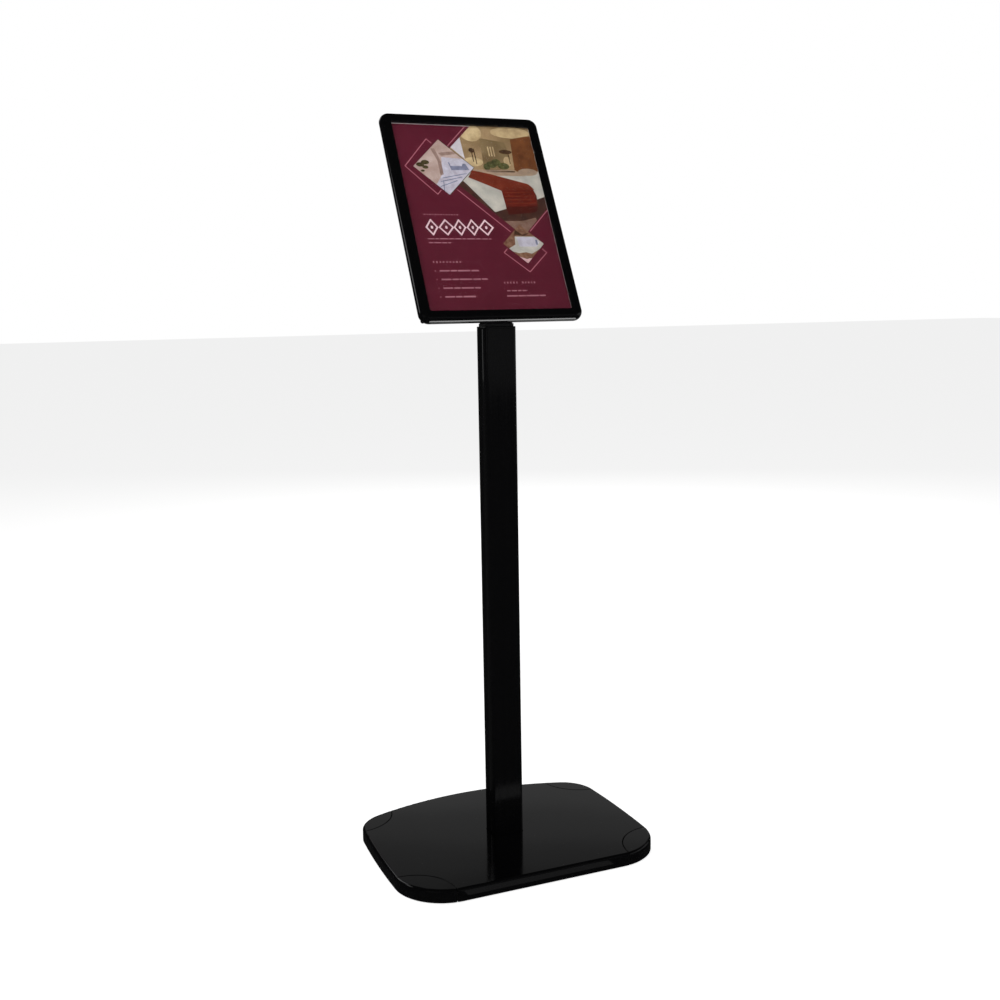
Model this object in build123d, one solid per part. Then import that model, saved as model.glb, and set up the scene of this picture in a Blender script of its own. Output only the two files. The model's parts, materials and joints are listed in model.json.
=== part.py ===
from build123d import *
import os

os.makedirs("parts", exist_ok=True)

# Floor sign stand: a weighted base, one rectangular post, and a tilting head that
# carries an A4 frame. Millimetres. The origin is on the floor, at the centre of the
# base's plan; +Z is up, -Y is the reader's side, +X is the reader's right.

# ---- base, seen from above ----
base_width = 388.0
base_depth = 306.0
base_side_radius = 1500.0
base_side_middle = -42.0
base_back_radius = 440.0
base_front_corner = 73.0
base_back_corner = 55.0
base_top = 20.0
base_edge_round = 4.0
base_wall = 3.0

# ---- corner caps: each is cut off the base by an arc about a point near the corner, which
# lies inside the front edge, or behind where the back and side would meet if not rounded ----
cap_radius = 61.0
cap_groove = 1.2
cap_side_setback = 3.0
cap_front_setback = 6.0
cap_back_reach = 29.0
cap_fixing_radius = 48.0
cap_foot_lean = 27.0
cap_screw_lean = 57.0

# ---- feet, floor pan and ballast ----
foot_drop = 2.0
foot_radius = 11.0
foot_plug_radius = 5.0
foot_plug_length = 3.5
cover_thickness = 2.0
ballast_thickness = 6.0
foot_bolt_gap = 0.5
rib_thickness = 3.0
pan_screw_setback = 30.0
pan_screw_side_setback = 18.0

# ---- post: an extruded box with four screw ports in its corners ----
post_width = 46.0
post_depth = 34.0
post_corner = 4.0
post_wall = 2.2
post_set_forward = 8.5
post_top = 750.0
port_inset = 8.0
port_radius = 6.0

# ---- fasteners ----
post_bolt_radius = 3.0
post_bolt_head_radius = 5.25
post_bolt_head_height = 3.3
post_bolt_reach = 26.0
washer_thickness = 1.2
washer_radius = 6.0
tapping_screw_radius = 1.75
tapping_head_radius = 3.5
tapping_head_height = 1.6
tapping_reach = 9.0
boss_radius = 4.0
frame_screw_radius = 1.5
frame_screw_head_radius = 2.8
frame_screw_head_height = 1.8
frame_screw_tip_gap = 1.0
frame_screw_recess = 0.2
hex_key_radius = 3.0

# ---- tilt hinge on the post's top ----
top_cap_thickness = 3.0
top_cap_plug = 14.0
hinge_flange_setback = 2.0
hinge_flange_thickness = 4.0
hinge_barrel_radius = 9.0
hinge_barrel_width = 20.0
hinge_rise = 22.0
hinge_set_back = 8.0
tilt_bolt_radius = 4.0
tilt_bolt_head_radius = 6.5
tilt_bolt_head_height = 5.3
tilt_nut_height = 6.9
tilt_washer_radius = 8.0
friction_washer_thickness = 2.7

# ---- head: local X is the reader's right, local Y runs up the frame, local Z is its face ----
tilt_back = 28.4
hinge_to_frame = 15.0
hinge_above_edge = 30.3
arm_thickness = 3.0
arm_disc_radius = 42.0
arm_flange_stop = 45.0
stop_pin_radius = 3.0
stop_track_radius = 28.0
stop_pin_start = 45.0
frame_turn = 90.0
friction_disc_radius = 24.0
friction_disc_thickness = 1.0
swivel_bolt_radius = 4.0
swivel_head_radius = 7.5
swivel_head_height = 5.0
swivel_spring_radius = 11.0
swivel_spring_thickness = 1.5
insert_radius = 6.0

# ---- frame ----
frame_width = 240.0
frame_height = 327.0
frame_depth = 17.0
frame_corner = 14.0
frame_round = 8.0
frame_wall = 4.0
frame_part_line = 8.5
back_plate = 3.0
window_border = 15.5
window_corner = 3.0
window_round = 3.0
lip_thickness = 3.5
pocket_border = 13.0
pocket_floor = 14.2
pocket_wall = 2.7
board_border = 11.0
board_corner = 2.0
board_thickness = 3.0
notch_radius = 13.0
notch_wall = 2.5
frame_rib_thickness = 2.0

# ---- what slides in ----
print_width = 210.0
print_height = 297.0
print_thickness = 0.4
lens_thickness = 2.0
lens_below_rim = 2.0

# ---- fits ----
slide_gap = 0.3
seat_gap = 0.3
shaft_gap = 0.05

# ---- heights and places that follow from them ----
wall_foot = foot_drop
cover_top = wall_foot + cover_thickness
shell_ceiling = base_top - base_wall
ballast_foot = cover_top + foot_bolt_gap + post_bolt_head_height + washer_thickness
ballast_top = ballast_foot + ballast_thickness
post_y = -post_set_forward
cap_top = post_top + top_cap_thickness
hinge_y = post_y + hinge_set_back
hinge_z = cap_top + hinge_rise
port_x = post_width / 2 - port_inset
port_y = post_depth / 2 - port_inset
ports = [(x * port_x, y * port_y) for x in (-1, 1) for y in (-1, 1)]

board_front = frame_depth - lip_thickness - lens_thickness - print_thickness - 3 * slide_gap
board_back = board_front - board_thickness
print_back = board_front + slide_gap
lens_back = print_back + print_thickness + slide_gap
lip_back = frame_depth - lip_thickness
pocket_width = frame_width - 2 * pocket_border
channel_middle = (frame_wall + pocket_border - pocket_wall) / 2
axis_u = hinge_above_edge - frame_height / 2
arm_front = -(slide_gap + friction_disc_thickness)
arm_back = arm_front - arm_thickness
ear_inside = hinge_barrel_width / 2 + friction_washer_thickness + slide_gap
ear_outside = ear_inside + arm_thickness

upright = Plane(origin=(0, hinge_y, hinge_z), x_dir=(1, 0, 0), z_dir=(0, -1, 0))
hinge_axis = upright.rotated((-tilt_back, 0, 0))
head = hinge_axis.offset(hinge_to_frame)
head.origin = head.from_local_coords((0, -axis_u, 0))


def save(name, shape):
    """Write one piece, or one set of like pieces, as its own file."""
    export_step(shape, f"parts/{name}.step")


def column(radius, low, high, at=(0, 0)):
    """An upright cylinder between two heights."""
    return Pos(at[0], at[1], low) * extrude(Circle(radius), high - low)


def on_head(shape):
    """Carry a shape from the head's own axes to the stand's."""
    return head.location * shape


# ---- base ----
def base_plan(inset):
    """The base's outline: straight front, slightly bowed sides, a bowed back, four round corners."""
    plan = Pos(0, inset / 2) * Rectangle(base_width, base_depth - inset)
    side = Rot(0, 0, 90) * Circle(base_side_radius - inset)
    for x in (-1, 1):
        plan &= Pos(x * (base_side_radius - base_width / 2), base_side_middle) * side
    plan &= Pos(0, base_depth / 2 - base_back_radius) * Circle(base_back_radius - inset)
    plan = fillet(plan.vertices().group_by(Axis.Y)[0], base_front_corner - inset)
    return fillet(plan.vertices().group_by(Axis.Y)[-1], base_back_corner - inset)


def cap_corners():
    """Name, arc centre and side signs of each corner cap."""
    x = base_width / 2 - cap_side_setback
    front = -base_depth / 2 + cap_front_setback
    back_centre = base_depth / 2 - base_back_radius
    back_corner = back_centre + (base_back_radius ** 2 - (base_width / 2) ** 2) ** 0.5
    back = back_corner + cap_back_reach
    return [
        ("front_left", (-x, front), (-1, -1)),
        ("front_right", (x, front), (1, -1)),
        ("back_left", (-x, back), (-1, 1)),
        ("back_right", (x, back), (1, 1)),
    ]


def cap_point(centre, signs, lean):
    """A point inside a corner cap: inward from the arc's centre, at an angle from the side edge."""
    reach = Vector(0, cap_fixing_radius).rotate(Axis.Z, -lean)
    return centre[0] - signs[0] * reach.X, centre[1] - signs[1] * reach.Y


def corners(radius, low, high):
    """Columns over the four corner arcs."""
    return Part() + [column(radius, low, high, centre) for _, centre, _ in cap_corners()]


def base_body():
    """The full outer form of shell and caps together, with its rounded upper edge."""
    body = Pos(0, 0, wall_foot) * extrude(base_plan(0), base_top - wall_foot)
    return fillet(body.edges().group_by(Axis.Z)[-1], base_edge_round)


def post_opening(gap, low, high):
    """The post's outline, grown by a gap, between two heights."""
    outline = RectangleRounded(post_width + 2 * gap, post_depth + 2 * gap, post_corner + gap)
    return Pos(0, post_y, low) * extrude(outline, high - low)


def pan_screw_places():
    """Where the floor pan is screwed up into the shell."""
    near_x = base_width / 4
    far_x = base_width / 2 - pan_screw_side_setback
    near_y = base_depth / 2 - pan_screw_setback
    return [(x * near_x, y * near_y) for x in (-1, 1) for y in (-1, 1)] + [(-far_x, 0), (far_x, 0)]


def base_shell(body):
    """Moulded upper shell: open below, cut back at the four corners, socketed for the post."""
    inside = Pos(0, 0, wall_foot) * extrude(base_plan(base_wall), shell_ceiling - wall_foot)
    pan_space = Pos(0, 0, wall_foot) * extrude(base_plan(base_wall), cover_thickness)
    edge = cap_radius + cap_groove
    shell = body - corners(edge, 0, base_top)
    shell -= inside - corners(edge + base_wall, 0, base_top)
    shell -= pan_space
    shell += post_opening(seat_gap + rib_thickness, ballast_top, shell_ceiling)
    shell -= post_opening(seat_gap, 0, base_top)
    for place in pan_screw_places():
        shell += column(boss_radius, cover_top, shell_ceiling, place)
        shell -= column(tapping_screw_radius, wall_foot, cover_top + tapping_reach, place)
    return shell


def corner_cap(body, centre, signs):
    """Moulded corner: hollow, with its own boss for one screw from below."""
    cap = body & column(cap_radius, 0, base_top, centre)
    inside = Pos(0, 0, cover_top) * extrude(base_plan(base_wall), shell_ceiling - cover_top)
    inside &= column(cap_radius - base_wall, 0, base_top, centre)
    cap -= inside
    cap -= Pos(0, 0, wall_foot) * extrude(base_plan(base_wall), cover_thickness)
    place = cap_point(centre, signs, cap_screw_lean)
    cap += column(boss_radius, cover_top, shell_ceiling, place)
    cap -= column(tapping_screw_radius, wall_foot, cover_top + tapping_reach, place)
    return cap


def tapping_screw(place):
    """Pan-head self-tapping screw, driven up from under the floor pan."""
    screw = column(tapping_head_radius, wall_foot - tapping_head_height, wall_foot, place)
    screw = fillet(screw.edges().group_by(Axis.Z)[0], tapping_head_height / 2)
    return screw + column(tapping_screw_radius, wall_foot, cover_top + tapping_reach, place)


def floor_pan():
    """Flat underside cover, with ribs that hold the ballast up against the shell."""
    pan = Pos(0, 0, wall_foot) * extrude(base_plan(base_wall + seat_gap), cover_thickness)
    rib_length = base_depth / 2
    for x in (-1, 1):
        rib = Box(rib_thickness, rib_length, ballast_foot - cover_top)
        pan += Pos(x * base_width / 6, 0, (cover_top + ballast_foot) / 2) * rib
    for _, centre, signs in cap_corners():
        pan -= column(foot_plug_radius, 0, base_top, cap_point(centre, signs, cap_foot_lean))
        pan -= column(tapping_screw_radius, 0, base_top, cap_point(centre, signs, cap_screw_lean))
    for place in pan_screw_places():
        pan -= column(tapping_screw_radius, 0, base_top, place)
    return pan


def ballast_plate():
    """Steel plate inside the shell, drilled for the post's bolts and the shell's bosses."""
    plate = Pos(0, 0, ballast_foot) * extrude(base_plan(2 * base_wall), ballast_thickness)
    plate -= corners(cap_radius + cap_groove + 2 * base_wall, 0, base_top)
    for place in pan_screw_places():
        plate -= column(boss_radius + 2 * seat_gap, 0, base_top, place)
    for x, y in ports:
        plate -= column(post_bolt_radius + seat_gap, 0, base_top, (x, post_y + y))
    return plate


def rubber_foot(place):
    """Rubber foot: a round pad with a plug that pushes up through the floor pan."""
    pad = column(foot_radius, 0, foot_drop, place)
    pad = fillet(pad.edges().group_by(Axis.Z)[0], foot_drop / 3)
    return pad + column(foot_plug_radius, foot_drop, foot_drop + foot_plug_length, place)


def make_base():
    """All the pieces of the base."""
    body = base_body()
    save("base_shell", base_shell(body))
    cap_screws = []
    for name, centre, signs in cap_corners():
        save(f"corner_cap_{name}", corner_cap(body, centre, signs))
        save(f"rubber_foot_{name}", rubber_foot(cap_point(centre, signs, cap_foot_lean)))
        cap_screws.append(tapping_screw(cap_point(centre, signs, cap_screw_lean)))
    save("corner_cap_screws", Compound(cap_screws))
    save("base_floor_pan", floor_pan())
    save("floor_pan_screws", Compound([tapping_screw(place) for place in pan_screw_places()]))
    save("ballast_plate", ballast_plate())


# ---- post ----
def post():
    """Extruded post: box wall with four screw ports that run its full length."""
    outline = RectangleRounded(post_width, post_depth, post_corner)
    section = outline - RectangleRounded(
        post_width - 2 * post_wall, post_depth - 2 * post_wall, post_corner - post_wall)
    for x, y in ports:
        section += outline & (Pos(x, y) * Circle(port_radius))
    for x, y in ports:
        section -= Pos(x, y) * Circle(post_bolt_radius)
    return Pos(0, post_y, ballast_top) * extrude(section, post_top - ballast_top)


def foot_bolt(x, y):
    """Button-head bolt up through the ballast into one of the post's ports."""
    head_top = ballast_foot - washer_thickness
    head_low = head_top - post_bolt_head_height
    head_part = column(post_bolt_head_radius, head_low, head_top, (x, post_y + y))
    head_part = fillet(head_part.edges().group_by(Axis.Z)[0], post_bolt_head_height / 2)
    return head_part + column(post_bolt_radius, head_top, ballast_top + post_bolt_reach, (x, post_y + y))


def foot_washer(x, y):
    """Washer between a foot bolt's head and the ballast."""
    place = (x, post_y + y)
    ring = column(washer_radius, ballast_foot - washer_thickness, ballast_foot, place)
    return ring - column(post_bolt_radius, 0, base_top, place)


def top_cap():
    """Moulded cap on the post's top: a flange level with the post's sides and a plug between the ports."""
    flange = Pos(0, post_y, post_top) * extrude(RectangleRounded(post_width, post_depth, post_corner),
                                                 top_cap_thickness)
    flange = fillet(flange.edges().group_by(Axis.Z)[-1], top_cap_thickness / 4)
    plug_width = post_width - 2 * (port_inset + port_radius + seat_gap)
    plug_depth = post_depth - 2 * (post_wall + seat_gap)
    cap = flange + Pos(0, post_y, post_top - top_cap_plug / 2) * Box(plug_width, plug_depth, top_cap_plug)
    for x, y in ports:
        cap -= column(post_bolt_radius, 0, hinge_z, (x, post_y + y))
    return cap


def hinge_block():
    """Cast hinge block: a flange on the post's cap and a barrel that the tilt bolt runs through."""
    outline = RectangleRounded(
        post_width - 2 * hinge_flange_setback, post_depth - 2 * hinge_flange_setback, post_corner)
    flange = Pos(0, post_y, cap_top) * extrude(outline, hinge_flange_thickness)
    for x, y in ports:
        flange -= column(post_bolt_radius, 0, hinge_z, (x, post_y + y))
    barrel = Pos(-hinge_barrel_width / 2, hinge_y, hinge_z) * Rot(0, 90, 0) * extrude(
        Circle(hinge_barrel_radius), hinge_barrel_width)
    between_screws = 2 * (port_x - post_bolt_head_radius - seat_gap)
    neck_width = min(hinge_barrel_width, between_screws)
    neck_low = cap_top + hinge_flange_thickness
    neck_middle = (neck_low + hinge_z) / 2
    neck = Box(neck_width, 2 * hinge_barrel_radius, hinge_z - neck_low)
    neck = Pos(0, hinge_y, neck_middle) * neck
    block = flange + barrel + neck
    return block - tilt_bore(tilt_bolt_radius + shaft_gap)


def tilt_bore(radius):
    """A cylinder along the tilt axis, long enough to cut anything on it."""
    return Pos(-post_width, hinge_y, hinge_z) * Rot(0, 90, 0) * extrude(Circle(radius), 2 * post_width)


def across(radius, near, far):
    """A disc on the tilt axis, between two distances from the middle."""
    return Pos(min(near, far), hinge_y, hinge_z) * Rot(0, 90, 0) * extrude(Circle(radius), abs(far - near))


def hinge_screw(x, y):
    """Button-head screw through hinge block and cap into one of the post's ports."""
    head_low = cap_top + hinge_flange_thickness
    head_part = column(post_bolt_head_radius, head_low, head_low + post_bolt_head_height, (x, post_y + y))
    head_part = fillet(head_part.edges().group_by(Axis.Z)[-1], post_bolt_head_height / 2)
    return head_part + column(post_bolt_radius, post_top - post_bolt_reach, head_low, (x, post_y + y))


def make_post():
    """The post, what bolts it down, and the fixed half of the hinge."""
    save("post", post())
    save("post_foot_bolts", Compound([foot_bolt(x, y) for x, y in ports]))
    save("post_foot_washers", Compound([foot_washer(x, y) for x, y in ports]))
    save("post_top_cap", top_cap())
    save("hinge_block", hinge_block())
    save("hinge_block_screws", Compound([hinge_screw(x, y) for x, y in ports]))
    barrel = hinge_barrel_width / 2
    washers = [across(hinge_barrel_radius, side * barrel, side * (barrel + friction_washer_thickness))
               - tilt_bore(tilt_bolt_radius + shaft_gap) for side in (-1, 1)]
    save("tilt_friction_washers", Compound([washer.solid() for washer in washers]))


# ---- tilting arm ----
def tilt_arm():
    """Pressed steel arm: a channel whose ears take the tilt bolt, ending in the swivel disc."""
    ear_low = axis_u - hinge_barrel_radius
    web_height = -ear_low
    web = Pos(0, ear_low / 2, (arm_front + arm_back) / 2) * Box(2 * ear_outside, web_height, arm_thickness)
    arm = web + Pos(0, 0, arm_back) * extrude(Circle(arm_disc_radius), arm_thickness)
    side = Plane(origin=(ear_inside, 0, 0), x_dir=(0, 1, 0), z_dir=(1, 0, 0))
    strip_length = -arm_flange_stop - ear_low
    strip = Rectangle(strip_length, arm_thickness)
    strip = Pos(ear_low + strip_length / 2, (arm_front + arm_back) / 2) * strip
    eye = Pos(axis_u, -hinge_to_frame) * Circle(hinge_barrel_radius)
    ear = side * extrude(make_hull((strip + eye).edges()), arm_thickness)
    arm += ear + mirror(ear, about=Plane.YZ)
    arm -= Pos(0, axis_u, -hinge_to_frame) * Rot(0, 90, 0) * Cylinder(tilt_bolt_radius, 4 * ear_outside)
    arm -= Pos(0, 0, arm_back) * extrude(Circle(swivel_bolt_radius + shaft_gap), arm_thickness)
    track = CenterArc((0, 0), stop_track_radius, stop_pin_start, frame_turn)
    arm -= Pos(0, 0, arm_back) * extrude(SlotArc(track, 2 * (stop_pin_radius + slide_gap)), arm_thickness)
    return on_head(arm)


def ring_on_head(outer, inner, low, high):
    """A washer or disc about the swivel axis."""
    return on_head(column(outer, low, high) - column(inner, low, high))


def hex_on_axis(radius, near, far):
    """A hexagon nut on the tilt axis."""
    return Pos(min(near, far), hinge_y, hinge_z) * Rot(0, 90, 0) * extrude(
        RegularPolygon(radius, 6, major_radius=False), abs(far - near))


def make_tilt_head():
    """The arm and what rides on it."""
    washer_out = ear_outside + washer_thickness
    save("tilt_arm", tilt_arm())
    bolt_head = across(tilt_bolt_head_radius, washer_out, washer_out + tilt_bolt_head_height)
    bolt_head -= Pos(washer_out + tilt_bolt_head_height / 2, hinge_y, hinge_z) * Rot(0, 90, 0) * extrude(
        RegularPolygon(hex_key_radius, 6, major_radius=False), tilt_bolt_head_height)
    nut_out = -(washer_out + tilt_nut_height)
    save("tilt_bolt", bolt_head + across(tilt_bolt_radius, nut_out - seat_gap, washer_out))
    nut = hex_on_axis(tilt_bolt_head_radius, nut_out, -washer_out) - tilt_bore(tilt_bolt_radius)
    save("tilt_bolt_nut", nut)
    washers = [across(tilt_washer_radius, side * ear_outside, side * washer_out)
               - tilt_bore(tilt_bolt_radius) for side in (-1, 1)]
    save("tilt_bolt_washers", Compound([washer.solid() for washer in washers]))
    bore = swivel_bolt_radius + shaft_gap
    save("swivel_friction_disc", ring_on_head(friction_disc_radius, bore, arm_front,
                                              arm_front + friction_disc_thickness))
    save("swivel_spring_washer", ring_on_head(swivel_spring_radius, bore, arm_back - swivel_spring_thickness,
                                              arm_back))


# ---- frame ----
def frame_slab(border, corner, low, high):
    """A rounded slab, set in from the frame's outline by a border."""
    outline = RectangleRounded(frame_width - 2 * border, frame_height - 2 * border, corner)
    return Pos(0, 0, low) * extrude(outline, high - low)


def frame_screw_places():
    """Four corners, and two on each long side."""
    x = frame_width / 2 - channel_middle
    y = frame_height / 2 - channel_middle
    return [(i * x, j * k) for i in (-1, 1) for j in (-1, 1) for k in (y, frame_height / 6)]


def frame_channel(low, high):
    """The hollow that runs round inside the rails."""
    inner_border = pocket_border - pocket_wall
    outer = frame_slab(frame_wall, frame_corner - frame_wall, low, high)
    return outer - frame_slab(inner_border, window_corner, low, high)


def front_bezel():
    """Moulded front ring with a round-nosed section, a window lip and a slot through the top rail."""
    ring = frame_slab(0, frame_corner, frame_part_line, frame_depth)
    ring = fillet(ring.edges().group_by(Axis.Z)[-1], frame_round)
    window = frame_slab(window_border, window_corner, frame_part_line, frame_depth)
    ring -= window
    rim_x = frame_width / 2 - frame_round - window_round / 2
    rim_y = frame_height / 2 - frame_round - window_round / 2
    rim = [e for e in ring.edges().group_by(Axis.Z)[-1]
           if abs(e.center().X) < rim_x and abs(e.center().Y) < rim_y]
    ring = fillet(rim, window_round)
    ring -= frame_channel(frame_part_line, frame_depth - frame_wall)
    ring -= frame_slab(pocket_border - pocket_wall, window_corner, frame_part_line, board_front)
    pocket_top = frame_height / 2 + frame_wall
    pocket_low = pocket_floor - frame_height / 2
    pocket = Pos(0, (pocket_top + pocket_low) / 2, (board_front + lip_back) / 2) * Box(
        pocket_width, pocket_top - pocket_low, lip_back - board_front)
    boss_radius = channel_middle - frame_wall + seat_gap
    for x, y in frame_screw_places():
        ring += column(boss_radius, frame_part_line, frame_depth - frame_wall, (x, y))
    ring -= pocket
    for x, y in frame_screw_places():
        ring -= column(frame_screw_radius, frame_part_line, frame_screw_tip(), (x, y))
    return ring - column(notch_radius, 0, board_front, (0, frame_height / 2))


def frame_screw_tip():
    """Height that the frame screws reach inside the bezel's bosses."""
    return frame_depth - frame_wall - frame_screw_tip_gap


def rib_grid(low, high):
    """Stiffening ribs across the back shell, under the backing board."""
    width = frame_width - 2 * pocket_border
    height = frame_height - 2 * pocket_border
    middle = (low + high) / 2
    ribs = Part()
    for x in (-width / 4, 0, width / 4):
        ribs += Pos(x, 0, middle) * Box(frame_rib_thickness, height, high - low)
    for y in (-height / 4, 0, height / 4):
        ribs += Pos(0, y, middle) * Box(width, frame_rib_thickness, high - low)
    return ribs


def back_shell():
    """Moulded back: flat outside for the swivel, ribbed inside, with a thumb notch in the top rail."""
    shell = frame_slab(0, frame_corner, 0, frame_part_line)
    shell = fillet(shell.edges().group_by(Axis.Z)[0], frame_round)
    shell -= frame_channel(back_plate, frame_part_line)
    shell -= frame_slab(pocket_border - pocket_wall, window_corner, board_back, frame_part_line)
    shell -= frame_slab(pocket_border, window_corner, back_plate, board_back)
    shell += rib_grid(back_plate, board_back)
    for x, y in frame_screw_places():
        shell += column(channel_middle - frame_wall + seat_gap, back_plate, frame_part_line, (x, y))
        shell -= column(frame_screw_radius, 0, frame_part_line, (x, y))
        shell -= column(frame_screw_head_radius + seat_gap, 0, frame_screw_head_height, (x, y))
    shell += column(2 * insert_radius, back_plate, board_back)
    shell -= column(insert_radius, 0, board_back - seat_gap)
    pin_x, pin_y = stop_pin_place()
    shell += column(2 * stop_pin_radius, back_plate, board_back, (pin_x, pin_y))
    shell -= column(stop_pin_radius, 0, board_back - seat_gap, (pin_x, pin_y))
    notch_hub = (0, frame_height / 2)
    wall = column(notch_radius + notch_wall, back_plate, frame_part_line, notch_hub)
    shell += wall & frame_slab(frame_wall / 2, frame_corner, back_plate, board_back)
    return shell - column(notch_radius, 0, frame_depth, notch_hub)


def stop_pin_place():
    """The stop pin's centre, on the track in the arm's disc."""
    at = Vector(stop_track_radius, 0).rotate(Axis.Z, stop_pin_start)
    return at.X, at.Y


def frame_screw(x, y):
    """Pan-head screw from the back shell into the bezel."""
    seat = frame_screw_head_height
    pan_head = column(frame_screw_head_radius, frame_screw_recess, seat, (x, y))
    return pan_head + column(frame_screw_radius, seat, frame_screw_tip(), (x, y))


def swivel_bolt():
    """Shoulder bolt that the whole frame turns on."""
    head_top = arm_back - swivel_spring_thickness - slide_gap
    bolt = column(swivel_head_radius, head_top - swivel_head_height, head_top)
    bolt = chamfer(bolt.edges().group_by(Axis.Z)[0], swivel_head_height / 6)
    drive = RegularPolygon(hex_key_radius, 6, major_radius=False)
    bolt -= Pos(0, 0, head_top - swivel_head_height) * extrude(drive, swivel_head_height / 2)
    return bolt + column(swivel_bolt_radius, head_top, board_back - seat_gap)


def make_frame():
    """The frame that holds the print, and what fixes it to the swivel."""
    save("front_bezel", on_head(front_bezel()))
    save("back_shell", on_head(back_shell()))
    save("backing_board", on_head(frame_slab(board_border, board_corner, board_back, board_front)))
    screws = [on_head(frame_screw(x, y)) for x, y in frame_screw_places()]
    save("frame_screws", Compound(screws))
    save("swivel_bolt", on_head(swivel_bolt()))
    save("swivel_insert", ring_on_head(insert_radius, swivel_bolt_radius, 0, board_back - seat_gap))
    pin = column(stop_pin_radius, arm_back + slide_gap, board_back - seat_gap, stop_pin_place())
    save("swivel_stop_pin", on_head(pin))


def make_insert():
    """The clear lens and the print, which both draw out through the top rail."""
    floor = pocket_floor + slide_gap - frame_height / 2
    lens_top = frame_height / 2 - lens_below_rim
    outline = RectangleRounded(pocket_width - 2 * slide_gap, lens_top - floor, lens_thickness)
    lens = Pos(0, (lens_top + floor) / 2, lens_back) * extrude(outline, lens_thickness)
    save("clear_lens", on_head(lens))
    sheet = Pos(0, floor + print_height / 2, print_back) * extrude(
        Rectangle(print_width, print_height), print_thickness)
    save("print_sheet", on_head(sheet))


make_base()
make_post()
make_tilt_head()
make_frame()
make_insert()
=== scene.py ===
import json
import math

import bmesh
import bpy
from mathutils import Matrix, Vector


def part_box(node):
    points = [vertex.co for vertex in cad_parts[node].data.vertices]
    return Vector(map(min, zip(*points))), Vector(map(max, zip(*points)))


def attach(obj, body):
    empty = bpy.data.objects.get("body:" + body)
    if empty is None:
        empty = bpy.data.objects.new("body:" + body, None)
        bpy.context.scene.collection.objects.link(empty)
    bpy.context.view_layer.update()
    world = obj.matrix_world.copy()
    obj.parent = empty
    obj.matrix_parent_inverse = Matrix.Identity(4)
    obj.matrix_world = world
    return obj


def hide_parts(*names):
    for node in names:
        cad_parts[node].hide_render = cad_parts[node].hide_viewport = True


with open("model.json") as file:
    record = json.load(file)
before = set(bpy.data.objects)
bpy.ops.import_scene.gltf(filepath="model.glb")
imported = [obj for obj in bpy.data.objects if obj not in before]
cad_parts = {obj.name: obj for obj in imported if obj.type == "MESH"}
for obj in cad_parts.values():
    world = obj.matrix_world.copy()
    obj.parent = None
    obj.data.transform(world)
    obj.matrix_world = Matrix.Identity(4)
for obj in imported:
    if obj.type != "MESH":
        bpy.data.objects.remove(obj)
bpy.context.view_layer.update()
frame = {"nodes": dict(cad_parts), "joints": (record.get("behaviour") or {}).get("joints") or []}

# ---- Camera ----
# A 44 mm lens at chest height, in front of the stand and to its left, looking slightly down.
camera_data = bpy.data.cameras.new("camera")
camera_data.lens = 44.46
camera_data.sensor_width = 36.0
camera = bpy.data.objects.new("camera", camera_data)
bpy.context.scene.collection.objects.link(camera)
camera_place = Vector((-0.6649, -1.5883, 0.7864))
turned_right, tipped_down, rolled = math.radians(22.87), math.radians(9.12), math.radians(0.96)
camera.matrix_world = (
    Matrix.Translation(camera_place)
    @ Matrix.Rotation(-turned_right, 4, "Z")
    @ Matrix.Rotation(math.pi / 2 - tipped_down, 4, "X")
    @ Matrix.Rotation(-rolled, 4, "Z")
)
bpy.context.scene.camera = camera
bpy.context.scene.view_settings.view_transform = "Standard"

# ---- Base shell and corner caps ----
# Injection-moulded ABS, polished to a piano-black gloss. The shell is one thin moulding with a
# slightly crowned top; each corner is a separate moulding, screwed up from below behind a fine
# groove, so that a worn corner can be changed.
MM = 0.001
base_low, base_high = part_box("base_shell")
crown_height = 0.9 * MM
crown_cut_spacing = 12 * MM
edge_break = 0.4 * MM
weld = 0.002 * MM
at_one_height = 0.01 * MM
flat_turn = math.radians(0.4)
groove_turn = math.radians(60)
crease_turn = math.radians(32)
most_of_a_noise = (0.35, 0.65)


def colour(code):
    """An sRGB hex code as linear red, green, blue and alpha."""
    parts = [int(code[i:i + 2], 16) / 255 for i in (1, 3, 5)]
    linear = [c / 12.92 if c <= 0.04045 else ((c + 0.055) / 1.055) ** 2.4 for c in parts]
    return (*linear, 1.0)


def add_node(material, kind, inputs=(), **settings):
    """Add one node; each input takes a number, a colour or another node's output."""
    node = material.node_tree.nodes.new(kind)
    for key, value in settings.items():
        setattr(node, key, value)
    for key, value in dict(inputs).items():
        if isinstance(value, bpy.types.NodeSocket):
            material.node_tree.links.new(value, node.inputs[key])
        else:
            node.inputs[key].default_value = value
    return node


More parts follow.
